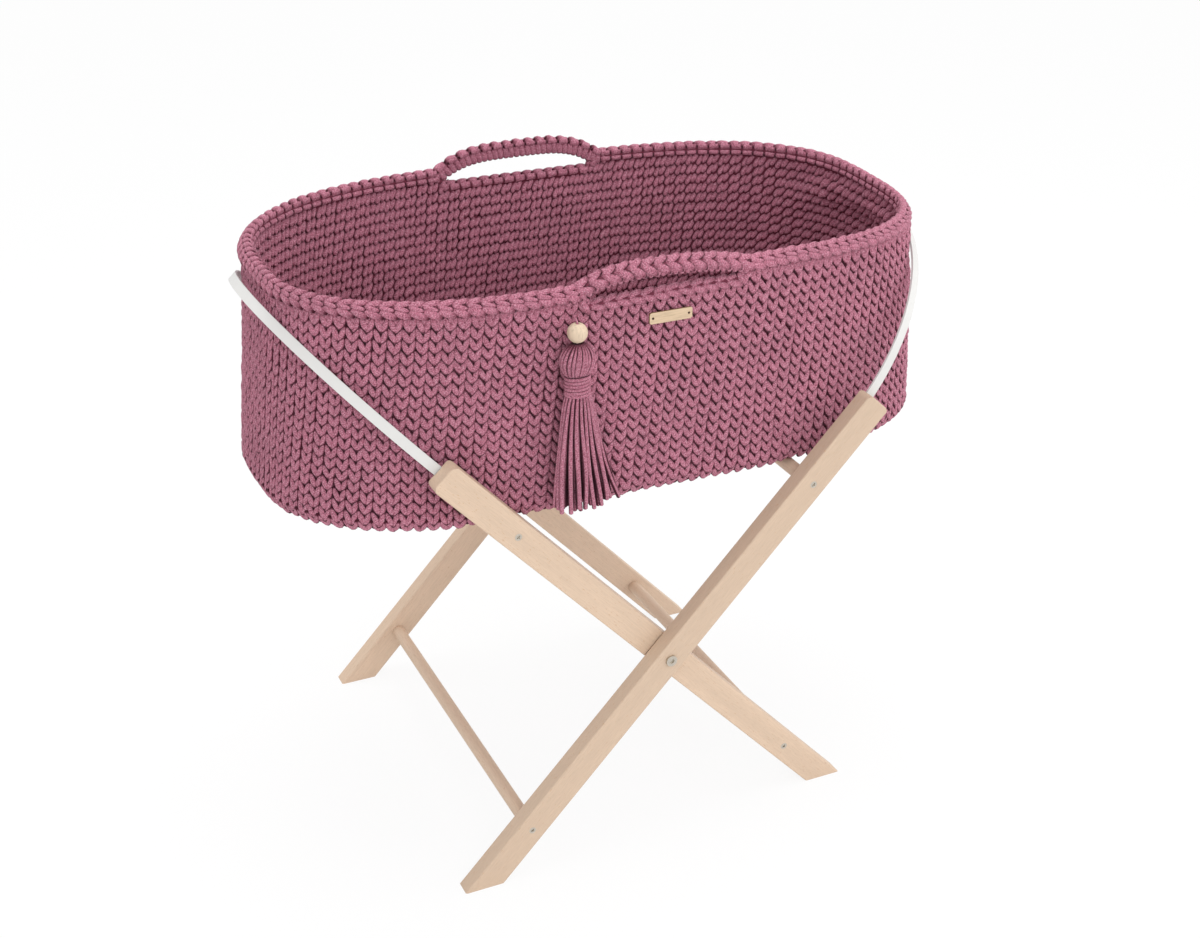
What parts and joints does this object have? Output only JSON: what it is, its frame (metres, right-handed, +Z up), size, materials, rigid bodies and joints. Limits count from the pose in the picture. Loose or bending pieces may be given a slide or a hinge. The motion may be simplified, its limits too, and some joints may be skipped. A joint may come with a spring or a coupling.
{
  "type": "moses basket on a folding stand",
  "caption": "Crocheted moses basket with handles, tassel and wooden tag, resting in a folding cross-leg beech stand with white retaining hoops.",
  "frame": {"origin": "on the floor, midway between the four feet and under the middle of the basket", "axes": "+X along the basket, -Y towards the side with the tassel and the tag, +Z up"},
  "size_m": [0.7844, 0.485, 0.7093],
  "materials": {
    "beech": "pale clear-finished beech with fine flecks",
    "hoop_white": "satin warm white powder coat",
    "nickel": "satin nickel",
    "washer_nylon": "natural nylon",
    "webbing": "woven cotton webbing",
    "crochet": "crocheted mauve cotton cord",
    "tag_wood": "pale bare wood",
    "thread": "dark sewing thread",
    "bead_wood": "turned bare wood",
    "tassel_cotton": "mauve cotton cord"
  },
  "bodies": {
    "outer_frame": {"outer_leg_front": "beech", "outer_leg_rear": "beech", "outer_upper_dowel": "beech", "outer_lower_dowel": "beech", "outer_hoop": "hoop_white", "outer_screws": "nickel", "outer_hoop_screws": "hoop_white", "pivot_bolts": "nickel", "pivot_washers": "washer_nylon", "pivot_nuts": "nickel", "strap_front": "webbing", "strap_rear": "webbing"},
    "inner_frame": {"inner_leg_front": "beech", "inner_leg_rear": "beech", "inner_upper_dowel": "beech", "inner_lower_dowel": "beech", "inner_hoop": "hoop_white", "inner_screws": "nickel", "inner_hoop_screws": "hoop_white"},
    "basket": {"basket_base": "crochet", "basket_wall": "crochet", "rim_left": "crochet", "rim_right": "crochet", "front_handle": "crochet", "rear_handle": "crochet", "tag": "tag_wood", "tag_threads": "thread"},
    "tassel": {"tassel_cord": "tassel_cotton", "bead": "bead_wood", "tassel_head": "tassel_cotton", "tassel_band": "tassel_cotton", "tassel_skirt": "tassel_cotton"}
  },
  "joints": [
    {"name": "fold", "type": "hinge", "parent": "outer_frame", "child": "inner_frame", "pos_m": [0, 0, 0.243], "axis": [0, 1, 0], "range_deg": [0, 79.5], "deforming": ["strap_front", "strap_rear", "basket_wall", "basket_base"]},
    {"name": "basket_lift", "type": "slide", "parent": "outer_frame", "child": "basket", "axis": [0, 0, 1], "range_m": [0, 0.85]},
    {"name": "tassel_swing", "type": "hinge", "parent": "basket", "child": "tassel", "pos_m": [-0.105, -0.2089, 0.6585], "axis": [-1, 0, 0], "range_deg": [0, 70]}
  ],
  "couplings": [
    {"joint": "basket_lift", "follows": "fold", "m_per_rad": 0.6}
  ]
}
